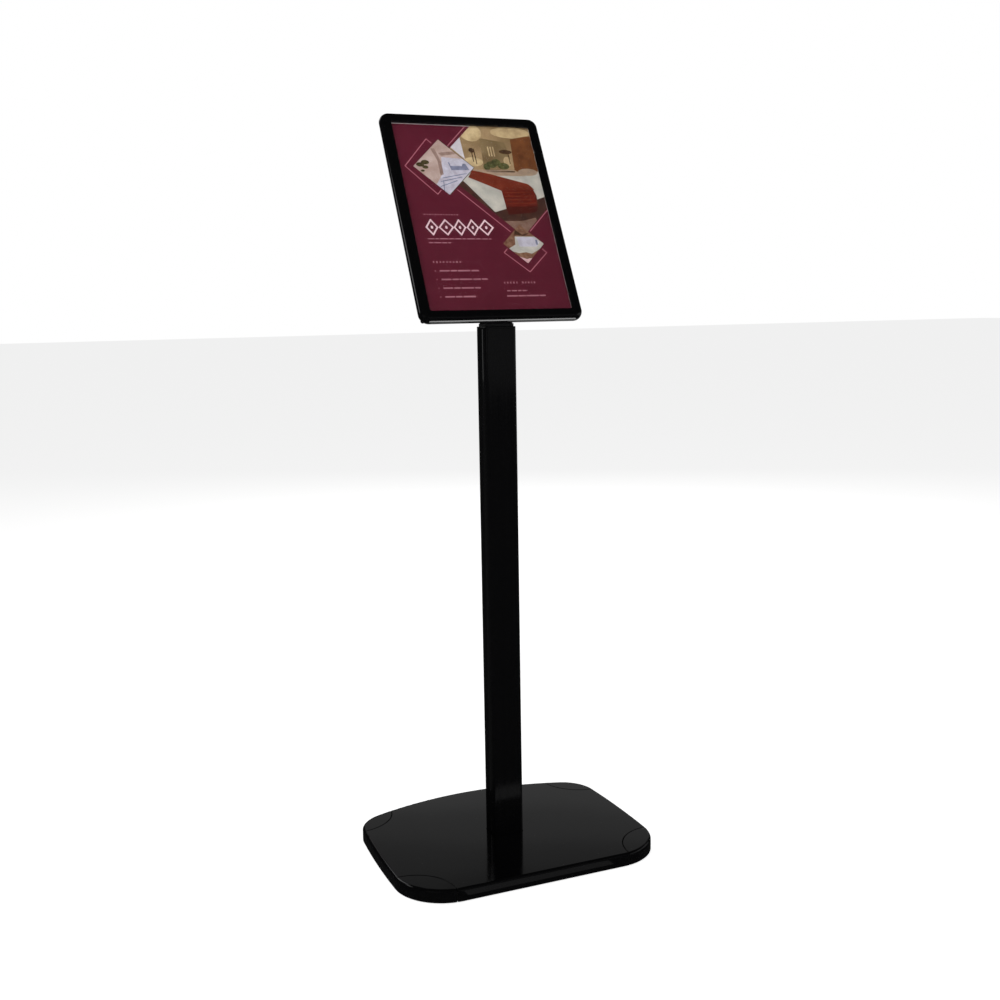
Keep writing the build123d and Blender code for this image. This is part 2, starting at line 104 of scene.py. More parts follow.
def finish(name, shades, size, detail=2.0, stretch=(1, 1, 1), shine=None, blend=None, flecks=None,
           grain=None, **constants):
    """A material with the pattern of the real one, whose size is in millimetres. It drifts between
    two shades and two roughnesses. Flecks (size, detail) give the second shade a pattern of its own,
    and a grain (size, detail, depth in millimetres, strength) raises the surface."""
    material = bpy.data.materials.new(name)
    material.use_nodes = True
    material.node_tree.nodes.clear()
    patterns = {"drift": (size, detail, stretch)}
    if flecks:
        patterns["flecks"] = (*flecks, (1, 1, 1))
    if grain:
        patterns["grain"] = (*grain[:2], (1, 1, 1))
    place = add_node(material, "ShaderNodeTexCoord")
    noise = {}
    for part, (millimetres, fineness, pull) in patterns.items():
        laid = add_node(material, "ShaderNodeMapping", {"Vector": place.outputs["Object"], "Scale": pull})
        noise[part] = add_node(material, "ShaderNodeTexNoise", {
            "Vector": laid.outputs[0], "Scale": 1 / (millimetres * MM), "Detail": fineness}).outputs["Fac"]
    surface = {}
    for key, value in constants.items():
        surface[key.replace("_", " ").title().replace("Ior", "IOR")] = value
    if shades:
        mix = noise["flecks" if flecks else "drift"]
        if blend:
            mix = add_node(material, "ShaderNodeMapRange", {
                "Value": mix, "From Min": blend[0], "From Max": blend[1]}).outputs[0]
        surface["Base Color"] = add_node(material, "ShaderNodeMix", {
            "Factor": mix, "A": colour(shades[0]), "B": colour(shades[1]),
        }, data_type="RGBA").outputs["Result"]
    if shine:
        surface["Roughness"] = add_node(material, "ShaderNodeMapRange", {
            "Value": noise["drift"], "From Min": most_of_a_noise[0], "From Max": most_of_a_noise[1],
            "To Min": shine[0], "To Max": shine[1]}).outputs[0]
    if grain:
        surface["Normal"] = add_node(material, "ShaderNodeBump", {
            "Height": noise["grain"], "Distance": grain[2] * MM, "Strength": grain[3]}).outputs["Normal"]
    shader = add_node(material, "ShaderNodeBsdfPrincipled", surface)
    add_node(material, "ShaderNodeOutputMaterial", {"Surface": shader.outputs[0]})
    return material


def remade(node):
    """A CAD piece's mesh as one joined surface, with its flat faces whole."""
    mesh = bmesh.new()
    mesh.from_mesh(frame["nodes"][node].data)
    bmesh.ops.remove_doubles(mesh, verts=mesh.verts, dist=weld)
    bmesh.ops.dissolve_limit(mesh, angle_limit=flat_turn, verts=mesh.verts, edges=mesh.edges)
    return mesh


def fit_piece(name, mesh, materials, body, replaces=(), shade=None):
    """Turn a bmesh into a piece that rides on a body and stands for its CAD nodes."""
    data = bpy.data.meshes.new(name)
    for face in mesh.faces:
        face.smooth = True
    mesh.to_mesh(data)
    mesh.free()
    data.set_sharp_from_angle(angle=crease_turn)
    for material in materials:
        data.materials.append(material)
    piece = bpy.data.objects.new(name, data)
    bpy.context.scene.collection.objects.link(piece)
    if shade:
        shade(data)
    else:
        flats = piece.modifiers.new("flats_stay_flat", "WEIGHTED_NORMAL")
        flats.keep_sharp = True
    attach(piece, body)
    if replaces:
        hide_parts(*replaces)
    return piece


def cut_along(mesh, axis, low, high, spacing):
    """Cut a mesh into even strips across one axis."""
    count = round((high - low) / spacing)
    for i in range(1, count):
        point, normal = Vector(), Vector()
        point[axis] = low + (high - low) * i / count
        normal[axis] = 1.0
        geometry = mesh.verts[:] + mesh.edges[:] + mesh.faces[:]
        bmesh.ops.bisect_plane(mesh, geom=geometry, plane_co=point, plane_no=normal, dist=1e-7)


def rim(mesh, height, least_turn=-1.0):
    """The edges that lie at one height, where two faces meet at more than some angle."""
    return [edge for edge in mesh.edges if edge.calc_face_angle(0) > least_turn
            and all(abs(vert.co.z - height) < at_one_height for vert in edge.verts)]


def soften(mesh, edges, width, steps):
    """Round a set of edges."""
    bmesh.ops.bevel(mesh, geom=edges, offset=width, offset_type="OFFSET", segments=steps,
                    profile=0.5, affect="EDGES", material=-1)


def crown(x, y):
    """Height of the low dome on the flat top, and its slopes across and along the base."""
    across, along = x / base_high.x, y / base_high.y
    rise_across, rise_along = 1 - abs(across) ** 3, 1 - abs(along) ** 3
    slope_across = -3 * across * abs(across) / base_high.x * rise_along
    slope_along = -3 * along * abs(along) / base_high.y * rise_across
    return crown_height * rise_across * rise_along, crown_height * slope_across, crown_height * slope_along


def raise_crown(mesh):
    """Lift the corners of the flat top into the dome."""
    for vert in mesh.verts:
        if vert.co.z > base_high.z - at_one_height:
            vert.co.z += crown(vert.co.x, vert.co.y)[0]


def shade_crown(data):
    """Let the top shade as the true dome, so that its small cuts don't show in the gloss."""
    normals = []
    for face in data.polygons:
        for corner in face.vertices:
            place = data.vertices[corner].co
            lift, slope_across, slope_along = crown(place.x, place.y)
            domed = place.z > base_high.z + lift - at_one_height and face.normal.z > 0.3
            normals.append(Vector((-slope_across, -slope_along, 1)) if domed else Vector())
    data.normals_split_custom_set(normals)


# ABS moulded against a polished tool: deep black, near-mirror gloss, with a very faint ripple from
# shrinkage, patches that handling has dulled, and a little fine dust.
polished_abs = finish("gloss_black_abs_polished", ("#060607", "#151516"), size=16, detail=5,
                      shine=(0.085, 0.115), flecks=(0.9, 1), blend=(0.66, 0.74),
                      grain=(9, 1, 0.01, 0.4), ior=1.52)
corner_names = [f"{y}_{x}" for y in ("front", "back") for x in ("left", "right")]
for moulding in ["base_shell"] + [f"corner_cap_{name}" for name in corner_names]:
    form = remade(moulding)
    soften(form, rim(form, base_high.z, least_turn=groove_turn), edge_break, 2)
    cut_along(form, 0, base_low.x, base_high.x, crown_cut_spacing)
    cut_along(form, 1, base_low.y, base_high.y, crown_cut_spacing)
    raise_crown(form)
    fit_piece(f"{moulding}_moulding", form, [polished_abs], "stand", [moulding],
              shade_crown)

# ---- Painted shade in the corner grooves ----
# Painted shade: a strip of black rubber lies deep in each groove, between cap and shell, and stands in for
# the shade down in the groove, so that the groove shows dark.
painted_shade_top = 15 * MM
painted_shade_foot = 4.2 * MM
cap_arc_radius = 61 * MM
groove_width = 1.2 * MM
cap_side_setback = 3 * MM
cap_front_setback = 6 * MM
cap_back_centre = 136.9 * MM
front_arc = (math.radians(-4), math.radians(91))
back_arc = (math.radians(5.5), math.radians(86))


def painted_shade_strip(side, end):
    """A strip of rectangular section, spun round one cap's centre: the painted shade of one groove."""
    mesh = bmesh.new()
    section = bmesh.ops.create_grid(mesh, x_segments=1, y_segments=1, size=0.5)["verts"]
    bmesh.ops.scale(mesh, verts=section, vec=(groove_width, painted_shade_top - painted_shade_foot, 1))
    bmesh.ops.rotate(mesh, verts=section, matrix=Matrix.Rotation(math.pi / 2, 3, "X"))
    middle = Vector((cap_arc_radius + groove_width / 2, 0, (painted_shade_top + painted_shade_foot) / 2))
    bmesh.ops.translate(mesh, verts=section, vec=middle)
    start, stop = front_arc if end < 0 else back_arc
    bmesh.ops.rotate(mesh, verts=section, matrix=Matrix.Rotation(start, 3, "Z"))
    bmesh.ops.spin(mesh, geom=mesh.verts[:] + mesh.edges[:] + mesh.faces[:], angle=stop - start,
                   steps=24, axis=(0, 0, 1))
    bmesh.ops.scale(mesh, verts=mesh.verts, vec=(-side, -end, 1))
    corner_y = base_low.y + cap_front_setback if end < 0 else cap_back_centre
    corner_x = side * (base_high.x - cap_side_setback)
    bmesh.ops.translate(mesh, verts=mesh.verts, vec=(corner_x, corner_y, 0))
    bmesh.ops.recalc_face_normals(mesh, faces=mesh.faces)
    return mesh


# Black rubber: matt, a little grey where it has been rubbed, with a fine moulded grain.
black_rubber = finish("black_rubber_moulded", ("#0B0B0B", "#1C1B1A"), size=6, detail=5, shine=(0.7, 0.9),
                      grain=(0.5, 2, 0.04, 1.0), specular_ior_level=0.35, ior=1.5)
# Painted shade: one dark strip in each of the four corner grooves.
for end, end_name in ((-1, "front"), (1, "back")):
    for side, side_name in ((-1, "left"), (1, "right")):
        strip = painted_shade_strip(side, end)
        fit_piece(f"groove_painted_shade_{end_name}_{side_name}", strip, [black_rubber], "stand")

# ---- Feet, floor pan and ballast ----
# Four rubber feet push up through a flat ABS pan that closes the base. The pan is moulded in a
# spark-eroded tool, so it is satin; the steel ballast above it is cut from plate.


def dress(node, material):
    """Give a CAD piece its finish."""
    slots = frame["nodes"][node].data.materials
    slots.clear()
    slots.append(material)


# ABS from a spark-eroded tool: an even fine grain that breaks up the shine.
grained_abs = finish("satin_black_abs_grained", ("#0A0A0B", "#121213"), size=30, detail=4,
                     shine=(0.34, 0.5), grain=(0.6, 2, 0.03, 1.0), ior=1.52)
# Hot-rolled steel plate, oiled: dark mill scale with rubbed patches.
rolled_steel = finish("mild_steel_plate_rolled", ("#34312E", "#6B6661"), size=25, detail=6,
                      shine=(0.35, 0.6), metallic=1.0)
# Bright zinc plate on steel: cool grey with a faint yellow bloom and a fine brushed grain.
bright_zinc = finish("zinc_plated_steel", ("#A9ABAE", "#C4BFAE"), size=4, detail=3, shine=(0.22, 0.38),
                     grain=(0.3, 2, 0.01, 1.0), metallic=1.0)
# Black-oxide steel screws: blue-black, with the high spots rubbed brighter.
black_oxide = finish("black_oxide_steel", ("#17181B", "#37383B"), size=1.5, detail=3,
                     shine=(0.28, 0.42), metallic=1.0)
dress("base_floor_pan", grained_abs)
dress("ballast_plate", rolled_steel)
dress("floor_pan_screws", bright_zinc)
dress("corner_cap_screws", bright_zinc)
for name in corner_names:
    dress(f"rubber_foot_{name}", black_rubber)

# ---- Post ----
# An aluminium box extrusion with a shallow flute down each narrow side, stove-enamelled gloss
# black after cutting to length. Four bolts from under the ballast run up into its screw ports.
post_corner = 4 * MM
post_corner_steps = 10
flute_half_width = 7 * MM
flute_depth = 0.8 * MM
flute_strip = 1.4 * MM
post_low, post_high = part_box("post")


def rounded_block(low, high, corner, steps):
    """An upright block between two corners, with its four upright edges rounded."""
    mesh = bmesh.new()
    outline = bmesh.ops.create_grid(mesh, x_segments=1, y_segments=1, size=0.5)["verts"]
    bmesh.ops.scale(mesh, verts=outline, vec=(high.x - low.x, high.y - low.y, 1))
    bmesh.ops.bevel(mesh, geom=mesh.verts[:], offset=corner, offset_type="OFFSET", segments=steps,
                    profile=0.5, affect="VERTICES", material=-1)
    raised = bmesh.ops.extrude_face_region(mesh, geom=mesh.faces[:])["geom"]
    top = [item for item in raised if isinstance(item, bmesh.types.BMVert)]
    bmesh.ops.translate(mesh, verts=top, vec=(0, 0, high.z - low.z))
    bmesh.ops.translate(mesh, verts=mesh.verts, vec=((low.x + high.x) / 2, (low.y + high.y) / 2, low.z))
    bmesh.ops.recalc_face_normals(mesh, faces=mesh.faces)
    return mesh


def press_flutes(mesh):
    """Hollow both narrow sides of the post in a shallow curve, over its whole height."""
    middle = (post_low.y + post_high.y) / 2
    reach = flute_half_width + flute_strip
    cut_along(mesh, 1, middle - reach, middle + reach, flute_strip)
    for vert in mesh.verts:
        off_middle = (vert.co.y - middle) / flute_half_width
        if abs(off_middle) < 1:
            vert.co.x -= math.copysign(flute_depth * (1 - off_middle ** 2), vert.co.x)


# Stove enamel on extruded aluminium: glossy, with faint lines along the draw showing through and a
# light orange peel.
enamel = finish("black_stove_enamel_on_aluminium", ("#050506", "#0A0A0B"), size=2.2, detail=3,
                stretch=(1, 1, 0.004), shine=(0.07, 0.15), grain=(3.5, 1, 0.01, 0.5), ior=1.5)
column = rounded_block(post_low, post_high, post_corner, post_corner_steps)
press_flutes(column)
fit_piece("post_extrusion", column, [enamel], "stand", ["post"])
dress("post_foot_bolts", black_oxide)
dress("post_foot_washers", bright_zinc)

# ---- Post cap and hinge block ----
# A moulded cap closes the post; on it a die-cast zinc block, painted black, carries the barrel
# that the head tilts on. Both are held by four screws into the post's ports.
cap_low, cap_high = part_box("post_top_cap")
cap_flange = 3 * MM
cap_edge = 0.75 * MM
cap_under_edge = 0.35 * MM

# Die-cast zinc under thin black paint: the cast skin's pitting shows, edges are rubbed.
painted_casting = finish("zinc_die_casting_black_paint", ("#0B0B0C", "#1B1B1D"), size=1.4, detail=4,
                         shine=(0.32, 0.5), grain=(1.4, 4, 0.05, 1.0), ior=1.5)
# Natural nylon turned from rod: milky, waxy, with faint turning rings.
turned_nylon = finish("natural_nylon_turned", ("#CFC8B6", "#E2DDCF"), size=0.8, detail=2,
                      stretch=(1, 0.05, 0.05), shine=(0.4, 0.55), ior=1.53, subsurface_weight=0.2,
                      subsurface_scale=0.002)

flange_low = Vector((cap_low.x, cap_low.y, cap_high.z - cap_flange))
flange = rounded_block(flange_low, cap_high, post_corner, post_corner_steps)
soften(flange, rim(flange, cap_high.z), cap_edge, 3)
soften(flange, rim(flange, flange_low.z), cap_under_edge, 2)
fit_piece("post_cap_moulding", flange, [polished_abs], "stand", ["post_top_cap"])
dress("hinge_block", painted_casting)
dress("hinge_block_screws", black_oxide)
dress("tilt_friction_washers", turned_nylon)

# ---- Tilting arm and its bolt ----
# Pressed from 3 mm steel sheet and powder-coated satin black. Its ears clamp the barrel with one
# bolt, and its disc carries the frame on a shoulder bolt with a spring washer, so both stay put.

# Polyester powder coat on pressed steel: satin black with a tight, even pebble.
powder_coat = finish("black_powder_coat_on_steel", ("#0C0C0D", "#141415"), size=20, detail=4,
                     shine=(0.36, 0.48), grain=(0.9, 1, 0.06, 1.0), ior=1.5)
# Turned brass insert: yellow, with fine tool marks.
turned_brass = finish("brass_turned", ("#B08D45", "#D6B264"), size=0.5, detail=2, shine=(0.22, 0.35),
                      metallic=1.0)
dress("tilt_arm", powder_coat)
dress("tilt_bolt", black_oxide)
dress("tilt_bolt_nut", bright_zinc)
dress("tilt_bolt_washers", bright_zinc)
dress("swivel_friction_disc", turned_nylon)
dress("swivel_spring_washer", bright_zinc)
dress("swivel_bolt", black_oxide)
dress("swivel_insert", turned_brass)
dress("swivel_stop_pin", bright_zinc)

# ---- Frame: back shell and bezel ----
# Two ABS mouldings, screwed together from behind: a grained back that takes the swivel, and a
# polished, round-nosed bezel with a slot along the top for the lens and the print.
turn_joint = next(joint for joint in frame["joints"] if joint["name"] == "frame_turn")
face_normal = Vector(turn_joint["axis"]).normalized()
face_right = Vector((1, 0, 0))
face_up = face_normal.cross(face_right)
head = Matrix((face_right, face_up, face_normal)).transposed().to_4x4()
head.translation = Vector(turn_joint["pos_m"])
head_inverse = head.inverted()


def head_box(node):
    """A head piece's lowest and highest corners in the frame's own axes: right, up, outwards."""
    places = [head_inverse @ vert.co for vert in frame["nodes"][node].data.vertices]
    low = Vector([min(place[i] for place in places) for i in range(3)])
    high = Vector([max(place[i] for place in places) for i in range(3)])
    return low, high


dress("front_bezel", polished_abs)
dress("back_shell", grained_abs)
dress("frame_screws", black_oxide)

# ---- Backing board ----
# A plain rectangle of board, sawn to drop into the frame behind the print, and stained black so
# that it doesn't show round it.

# Tempered hardboard: pressed fibres under a black stain, slightly waxy.
hardboard = finish("tempered_hardboard_stained", ("#0E0A08", "#1D1611"), size=0.8, detail=6,
                   shine=(0.5, 0.7), grain=(0.8, 6, 0.05, 1.0), ior=1.45)
dress("backing_board", hardboard)

# ---- Print ----
# An A4 poster on coated card, digitally printed: a wine-red ground, three diamond pictures of a
# plain guest room with thin pink outlines, and bars where its wording would be. Each ink area is
# a film laid on the card; later films lie over earlier ones.
print_low, print_high = head_box("print_sheet")
card_corner = 0.5 * MM
film = 0.012 * MM
ink_reach = ((104.8, 0), (0, 148.2))
inks = []


def ink(name, shade, lit, size=14.0):
    """Toner on coated card: two shades that drift into each other, with a soft sheen."""
    inks.append(finish(f"printed_{name}", (shade, lit), size, detail=3, blend=(0.3, 0.7), ior=1.45,
                       roughness=0.45, specular_ior_level=0.3))
    return len(inks) - 1


def press(level, ink_index, shape, inside):
    """Trim a flat shape to the card, and to one diamond, and press it on as a film of ink."""
    limits = []
    for x, y in ink_reach:
        limits += [(Vector((x * side, y * side, 0)), Vector((x * side, y * side, 0))) for side in (-1, 1)]
    if inside:
        x, y, reach = inside
        limits += [(Vector((x + reach * i, y, 0)), Vector((i, j, 0))) for i in (-1, 1) for j in (-1, 1)]
    for point, outward in limits:
        geometry = shape.verts[:] + shape.edges[:] + shape.faces[:]
        bmesh.ops.bisect_plane(shape, geom=geometry, plane_co=point * MM, plane_no=outward.normalized(),
                               clear_outer=True)
    raised = bmesh.ops.extrude_face_region(shape, geom=shape.faces[:])["geom"]
    top = [item for item in raised if isinstance(item, bmesh.types.BMVert)]
    bmesh.ops.translate(shape, verts=top, vec=(0, 0, level * film))
    bmesh.ops.translate(shape, verts=shape.verts, vec=(0, 0, print_high.z))
    bmesh.ops.recalc_face_normals(shape, faces=shape.faces)
    for face in shape.faces:
        face.material_index = ink_index
    film_mesh = bpy.data.meshes.new("film")
    shape.to_mesh(film_mesh)
    shape.free()
    printed.from_mesh(film_mesh)
    bpy.data.meshes.remove(film_mesh)


def lay(level, ink_index, points, inside=None):
    """A flat patch of ink from its few corners, in millimetres from the frame's middle."""
    shape = bmesh.new()
    shape.faces.new([shape.verts.new((x * MM, y * MM, 0)) for x, y in points])
    press(level, ink_index, shape, inside)


def band(level, ink_index, left, right, bottom, top, inside=None):
    """A rectangle of ink."""
    lay(level, ink_index, [(left, bottom), (right, bottom), (right, top), (left, top)], inside)


def diamond(level, ink_index, place):
    """A square of ink standing on its corner: middle x, middle y and half its height."""
    x, y, reach = place
    lay(level, ink_index, [(x, y - reach), (x + reach, y), (x, y + reach), (x - reach, y)])


def stroke(level, ink_index, start, stop, width, inside=None):
    """A thin straight line of ink."""
    start, stop = Vector(start), Vector(stop)
    along = (stop - start).normalized() * width / 2
    side = Vector((-along.y, along.x))
    corners = (start - along - side, stop + along - side, stop + along + side, start - along + side)
    lay(level, ink_index, [(p.x, p.y) for p in corners], inside)


def disc(level, ink_index, x, y, across, height, inside=None, points=20):
    """An ellipse of ink."""
    shape = bmesh.new()
    round_edge = bmesh.ops.create_circle(shape, cap_ends=True, segments=points, radius=0.5 * MM)["verts"]
    bmesh.ops.scale(shape, verts=round_edge, vec=(across, height, 1))
    bmesh.ops.translate(shape, verts=round_edge, vec=(x * MM, y * MM, 0))
    press(level, ink_index, shape, inside)


ink("card_white", "#E9E6E2", "#F2F0ED", 30)
wine = ink("wine_red", "#511223", "#561527", 60)
rose = ink("rose_line", "#A8606D", "#B56F7B", 20)
rose_grey = ink("rose_grey_type", "#97606C", "#A8707B", 20)
rose_white = ink("rose_white_type", "#DDBFC6", "#EAD2D7", 20)

# The card itself, in the first ink, and the red ground that covers it but for a thin top margin.
printed = rounded_block(print_low, print_high, card_corner, 2)
band(1, wine, -105, 105, -148.2, 147.2)

# Large picture, upper right: a warm room in the evening, a bed with a red runner over its foot.
room = (58.5, 80, 112.5)
sand = ink("room_sand_wall", "#7E6647", "#A58B67", 26)
olive = ink("room_olive_wall", "#6B573C", "#85704F", 20)
lamplight = ink("room_lamplight", "#A8906A", "#D2BB90", 16)
tan = ink("room_tan_curtain", "#583218", "#784726", 14)
umber = ink("room_umber", "#2C1A0D", "#4B3320", 10)
linen = ink("room_linen", "#A3A19A", "#C4BFB4", 18)
linen_shade = ink("room_linen_shade", "#8E7B69", "#A98F78", 12)
runner_top = ink("room_runner_top", "#61200F", "#7A3220", 12)
runner_front = ink("room_runner_front", "#4E1309", "#661C10", 9)
runner_foot = ink("room_runner_foot", "#3A0D07", "#4A130B", 9)
carpet = ink("room_carpet", "#35201A", "#4A2E24", 10)
carpet_lit = ink("room_carpet_lit", "#6B5145", "#8A6C5E", 10)
leaf = ink("room_leaf", "#35361C", "#5F5F3A", 5)
diamond(2, sand, room)
disc(3, lamplight, 12, 137, 34, 30, room)
disc(3, lamplight, 74, 139, 62, 19, room)
lay(3, olive, [(24, 128), (62, 122), (66, 88), (22, 84)], room)
disc(4, lamplight, 7, 88, 30, 15, room)
disc(4, lamplight, 60, 90, 12, 16, room)
disc(5, umber, 8, 107, 9, 8, room)
for x, foot in ((7, 88), (11, 84), (63, 86)):
    band(5, umber, x, x + 1.4, foot, 106, room)
disc(5, umber, 60, 106, 20, 7, room)
for x in (33, 37, 41):
    band(5, lamplight, x, x + 2, 98, 114, room)
lay(4, tan, [(72, 128), (98, 134), (110, 134), (110, 76), (78, 70), (68, 76)], room)
for x, y, across in ((34, 84, 16), (42, 88, 14), (52, 82, 18), (26, 80, 10)):
    disc(5, leaf, x, y, across, 11, room)
band(6, umber, 24, 68, 72, 75, room)
lay(3, carpet, [(-60, 60), (0, 74), (110, 30), (110, -40), (-60, -40)], room)
lay(4, carpet_lit, [(24, -8), (60, -8), (84, -2), (84, -20), (58, -40), (30, -24)], room)
lay(5, linen, [(-26, 74), (4, 74), (66, 71), (110, 74), (110, 34), (46, 12), (22, 5), (-24, 44)], room)
disc(6, linen_shade, 88, 73, 30, 12, room)
lay(6, linen_shade, [(3, 75), (66, 76), (84, 66), (40, 66), (10, 70)], room)
lay(6, carpet, [(-20, 62), (-10, 50), (23, 6), (42, 12), (30, -8), (0, -12), (-44, 34)], room)
lay(7, runner_top, [(-6, 62), (2, 74), (30, 68), (84, 53), (92, 44), (40, 41)], room)
lay(7, runner_front, [(40, 42), (88, 49), (93, 34), (90, 14), (42, 8)], room)
lay(8, runner_foot, [(41, 15), (90, 17), (88, 7), (43, 2)], room)
for y in (20, 26, 32, 38):
    stroke(8, runner_top, (44, y), (88, y + 2), 1.4, room)
stroke(2, rose, (6, 147), (-27, 113), 1.3)
stroke(2, rose, (-26, 41), (39, -25), 1.3)
stroke(2, rose, (70, -24), (104, 10), 1.3)

# A pale wedge of daylight between the two upper pictures.
daylight = ink("daylight", "#B9B3BB", "#D3CED2", 12)
lay(9, daylight, [(-23, 111), (-6, 128), (-5, 92)])

# Left picture: a bed by a window in daylight, with a leafy plant.
bedroom = (-39.5, 78, 45)
blush = ink("blush_wall", "#A88F85", "#C0ABA3", 16)
blush_shade = ink("blush_shade", "#8A7067", "#9F857A", 8)
blue_linen = ink("blue_linen", "#A9A3AF", "#C6C3D0", 9)
blue_shade = ink("blue_shade", "#676A80", "#8689A0", 7)
plant = ink("plant", "#271E0B", "#4C4424", 3)
diamond(10, plant, (bedroom[0] + 0.6, bedroom[1], bedroom[2] + 0.6))
diamond(11, blush, bedroom)
lay(12, blush_shade, [(-54, 108), (-48, 108), (-42, 86), (-42, 66), (-47, 64), (-47, 88)], bedroom)
lay(12, blue_linen, [(-40, 94), (-8, 92), (12, 78), (-30, 24), (-62, 40), (-44, 66)], bedroom)
lay(13, blush_shade, [(-44, 101), (-20, 104), (-16, 100), (-40, 96)], bedroom)
lay(13, blue_shade, [(-32, 86), (-6, 84), (-2, 74), (-29, 73)], bedroom)
lay(14, blue_linen, [(-30, 86), (-10, 85), (-12, 80), (-29, 80)], bedroom)
for start, stop in (((-44, 60), (-8, 68)), ((-48, 54), (-16, 62)), ((-50, 46), (-24, 56)),
                    ((-46, 40), (-44, 56))):
    stroke(13, blue_shade, start, stop, 1.3, bedroom)
for x, y, across in ((-66, 85, 12), (-74, 81, 12), (-67, 77, 9), (-72, 71, 6)):
    disc(12, plant, x, y, across, across * 0.6, bedroom)
stroke(5, rose, (-57, 123.5), (-96.5, 78), 1.3)
stroke(5, rose, (-96.5, 78), (-57, 33.5), 1.3)
stroke(5, rose, (-57, 123.5), (-51, 117), 1.3)
stroke(5, rose, (-57, 33.5), (-51, 40), 1.3)

# Small picture, lower right: a white bed on a brown rug.
alcove = (55, -44.5, 31)
rug = ink("rug", "#5F3E2E", "#8A6650", 5)
blossom = ink("blossom", "#C39A9B", "#D8B6B6", 8)
diamond(9, rug, alcove)
lay(10, umber, [(46, -22), (56, -30), (70, -26), (58, -32), (44, -30)], alcove)
lay(10, linen, [(44, -33), (74, -33), (90, -46), (58, -64), (28, -54), (42, -46)], alcove)
lay(11, blue_linen, [(46, -34), (73, -34), (80, -42), (74, -49), (48, -49)], alcove)
lay(11, rug, [(42, -60), (56, -58), (70, -62), (62, -68), (48, -66)], alcove)
lay(11, blossom, [(42, -64), (55, -69), (68, -64), (55, -80)], alcove)
band(12, blue_shade, 74, 77, -46, -38, alcove)
stroke(5, rose, (22.5, -58.5), (55, -89), 1.3)
stroke(5, rose, (55, -89), (87.5, -58.5), 1.3)
stroke(5, rose, (22.5, -58.5), (28, -53), 1.3)
stroke(5, rose, (87.5, -58.5), (82, -53), 1.3)


def greeked(left, right, y, height, lengths, gap, shade):
    """A line of wording as plain bars: their lengths in turn, with even gaps, until it is full."""
    x, turn = left, 0
    while x < right:
        stop = min(right, x + lengths[turn % len(lengths)])
        band(2, shade, x, stop, y - height / 2, y + height / 2)
        x, turn = stop + gap, turn + 1


# Where the heading would be, a row of five open lozenges; the rest is thin bars.
heading_y, heading_reach = -19, 11.5
for x, reach in ((-76, 8), (-55, 10), (-35, 8), (-16, 8), (4, 10)):
    tips = [(x - reach, heading_y), (x, heading_y + heading_reach), (x + reach, heading_y),
            (x, heading_y - heading_reach)]
    for i in range(4):
        stroke(2, rose_white, tips[i], tips[(i + 1) % 4], 2.2)
    disc(2, rose_white, x, heading_y, 3.6, 5, points=12)
greeked(-84, -33, 1, 2.0, (2.2, 1.4), 2.2, rose_grey)
greeked(-85, 8, -37, 1.7, (9, 5, 12, 7), 1.6, rose_grey)
greeked(-85, -53, -43.2, 1.7, (6, 10, 7), 1.6, rose_grey)
greeked(-85, -42, -73, 3.0, (1.6, 2.0), 3.0, rose_grey)
for row, right in enumerate((-21, -11, -24, -32)):
    y = -86.5 - 13.2 * row
    disc(2, rose_grey, -84.5, y, 1.8, 1.8, points=8)
    greeked(-78, right, y, 2.3, (14, 9, 18, 11), 1.6, rose_grey)
greeked(12, 32, -105.5, 3.0, (1.6, 2.0), 2.8, rose_grey)
greeked(39, 60, -105.5, 3.0, (2.2, 1.4), 2.6, rose_grey)
greeked(14, 43, -118, 1.9, (5, 8), 1.6, rose_grey)
greeked(12, 70, -126, 2.1, (16, 11, 19), 1.0, rose_grey)

bmesh.ops.transform(printed, matrix=head, verts=printed.verts)
fit_piece("print_poster", printed, inks, "print", ["print_sheet"])

# ---- Lens ----
# Clear cast acrylic, 2 mm thick, laser-cut: its edges are flame-bright. It slides in front of the
# print and protects it; it lets light through to the print without a shadow.
lens_low, lens_high = head_box("clear_lens")
lens_corner = 2 * MM
lens_edge = 0.25 * MM

# Cast acrylic: clear and faintly grey, with very light wiping marks.
clear_acrylic = finish("clear_acrylic_cast", None, size=30, detail=5, stretch=(0.3, 1, 1),
                       shine=(0.01, 0.05), base_color=(1, 1, 1, 1), ior=1.49, transmission_weight=1.0)
pane = rounded_block(lens_low, lens_high, lens_corner, 4)
soften(pane, rim(pane, lens_low.z) + rim(pane, lens_high.z), lens_edge, 2)
bmesh.ops.transform(pane, matrix=head, verts=pane.verts)
lens = fit_piece("acrylic_lens", pane, [clear_acrylic], "lens", ["clear_lens"])
lens.visible_shadow = False

# ---- Floor and light ----
# A pale painted floor that runs out to a white surround. Three soft lights show the colours; the
# other panels and cards are there only to be mirrored in the gloss. Those behind the stand grow
# dimmer upwards, which gives the base's top its long fade.
floor_reach = 30.0
room_grey = (0.015, 0.015, 0.015, 1)
studio = bpy.data.worlds.new("studio")
bpy.context.scene.world = studio
studio.use_nodes = True

floor_mesh = bmesh.new()
bmesh.ops.create_grid(floor_mesh, x_segments=1, y_segments=1, size=floor_reach)
floor_data = bpy.data.meshes.new("floor")
floor_mesh.to_mesh(floor_data)
floor_mesh.free()
floor = bpy.data.objects.new("floor", floor_data)
bpy.context.scene.collection.objects.link(floor)
floor_paint = finish("pale_floor_paint", ("#E4E4E3", "#E8E8E7"), size=400, roughness=0.9,
                     emission_strength=0.86, emission_color=(1, 1, 1, 1))
floor_data.materials.append(floor_paint)
floor.visible_glossy = False


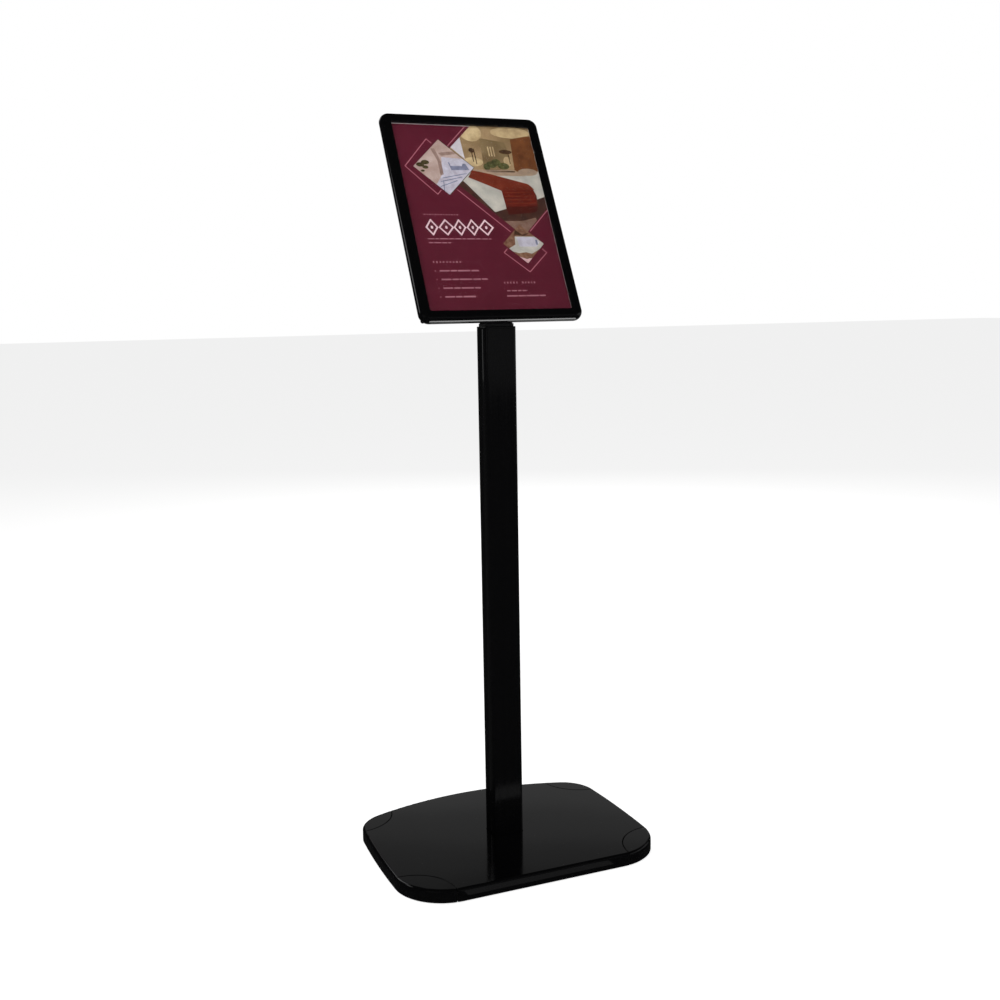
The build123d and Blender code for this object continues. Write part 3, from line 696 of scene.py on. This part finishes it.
def surround():
    """White where the camera looks past the stand; elsewhere a dim grey room."""
    studio.node_tree.nodes.clear()
    seen = add_node(studio, "ShaderNodeLightPath")
    shown = add_node(studio, "ShaderNodeMix", {
        "Factor": seen.outputs["Is Camera Ray"], "A": room_grey, "B": (1, 1, 1, 1)}, data_type="RGBA")
    sky = add_node(studio, "ShaderNodeBackground", {"Color": shown.outputs["Result"]})
    add_node(studio, "ShaderNodeOutputWorld", {"Surface": sky.outputs[0]})


def panel(name, place, aim, width, height, radiance, gloss=False, only=None):
    """A soft rectangular light, unseen by the camera. One kind lights the finishes; the other is
    there only to be mirrored in the gloss, of every piece or of only one."""
    data = bpy.data.lights.new(name, "AREA")
    data.shape = "RECTANGLE"
    data.size, data.size_y = width, height
    data.energy = radiance * math.pi * width * height
    light = bpy.data.objects.new(name, data)
    bpy.context.scene.collection.objects.link(light)
    facing = (Vector(aim) - Vector(place)).to_track_quat("-Z", "Y")
    light.matrix_world = Matrix.Translation(place) @ facing.to_matrix().to_4x4()
    light.visible_camera = False
    light.visible_glossy = gloss
    light.visible_diffuse = not gloss
    if only:
        lit = bpy.data.collections.new(f"lit_by_{name}")
        lit.objects.link(only)
        light.light_linking.receiver_collection = lit


surround()
panel("key_softbox", (-1.5, -0.9, 2.5), (0, 0, 0.8), 0.9, 0.9, 8.8)
panel("front_fill", (0.4, -3.4, 2.4), (0, 0, 0.5), 2.6, 1.6, 2.0)
panel("back_fill", (1.4, 2.6, 2.2), (0, 0, 0.7), 1.6, 1.4, 4.0)
for step, radiance in enumerate((0.25, 0.21, 0.16, 0.115, 0.08, 0.06, 0.045)):
    height = 0.45 if step == 0 else 0.12
    middle = 0.225 if step == 0 else 0.39 + 0.12 * step
    panel(f"low_back_panel_{step}", (0.6, 1.25, middle), (0, 0, middle), 1.4, height, radiance, gloss=True)
panel("rear_strip", (-0.12, 1.25, 0.8), (-0.03, 0, 0.8), 0.28, 0.4, 0.17, gloss=True)
panel("back_left_panel", (-1.3, 0.6, 1.28), (-0.1, 0.0, 0.9), 0.5, 0.34, 1.6, gloss=True)
panel("under_sign_card", (0.13, -0.105, 0.45), (0.13, -0.105, 1.0), 0.36, 0.17, 5.0, gloss=True,
      only=frame["nodes"]["front_bezel"])
panel("front_floor_card", (0.0, -0.2, 0.003), (0.0, -0.2, 1.0), 0.22, 0.07, 0.14, gloss=True)
panel("front_left_panel", (-1.9, -1.9, 0.9), (0, 0, 0.6), 1.4, 0.7, 0.12, gloss=True)
panel("front_right_panel", (2.1, -1.5, 0.9), (0, 0, 0.6), 1.2, 0.7, 0.4, gloss=True)
panel("front_low_panel", (0.5, -1.9, 0.78), (0, 0, 0.78), 1.6, 0.5, 0.08, gloss=True)
panel("right_panel", (1.6, -0.2, 0.6), (0, -0.2, 0.6), 1.2, 0.7, 0.25, gloss=True)
panel("rear_softbox", (-0.9, 2.6, 2.3), (0, 0, 0.8), 1.4, 1.2, 1.0, gloss=True)
panel("rear_floor_card", (0.6, 0.55, 0.003), (0.6, 0.55, 1.0), 0.8, 0.7, 0.8, gloss=True)
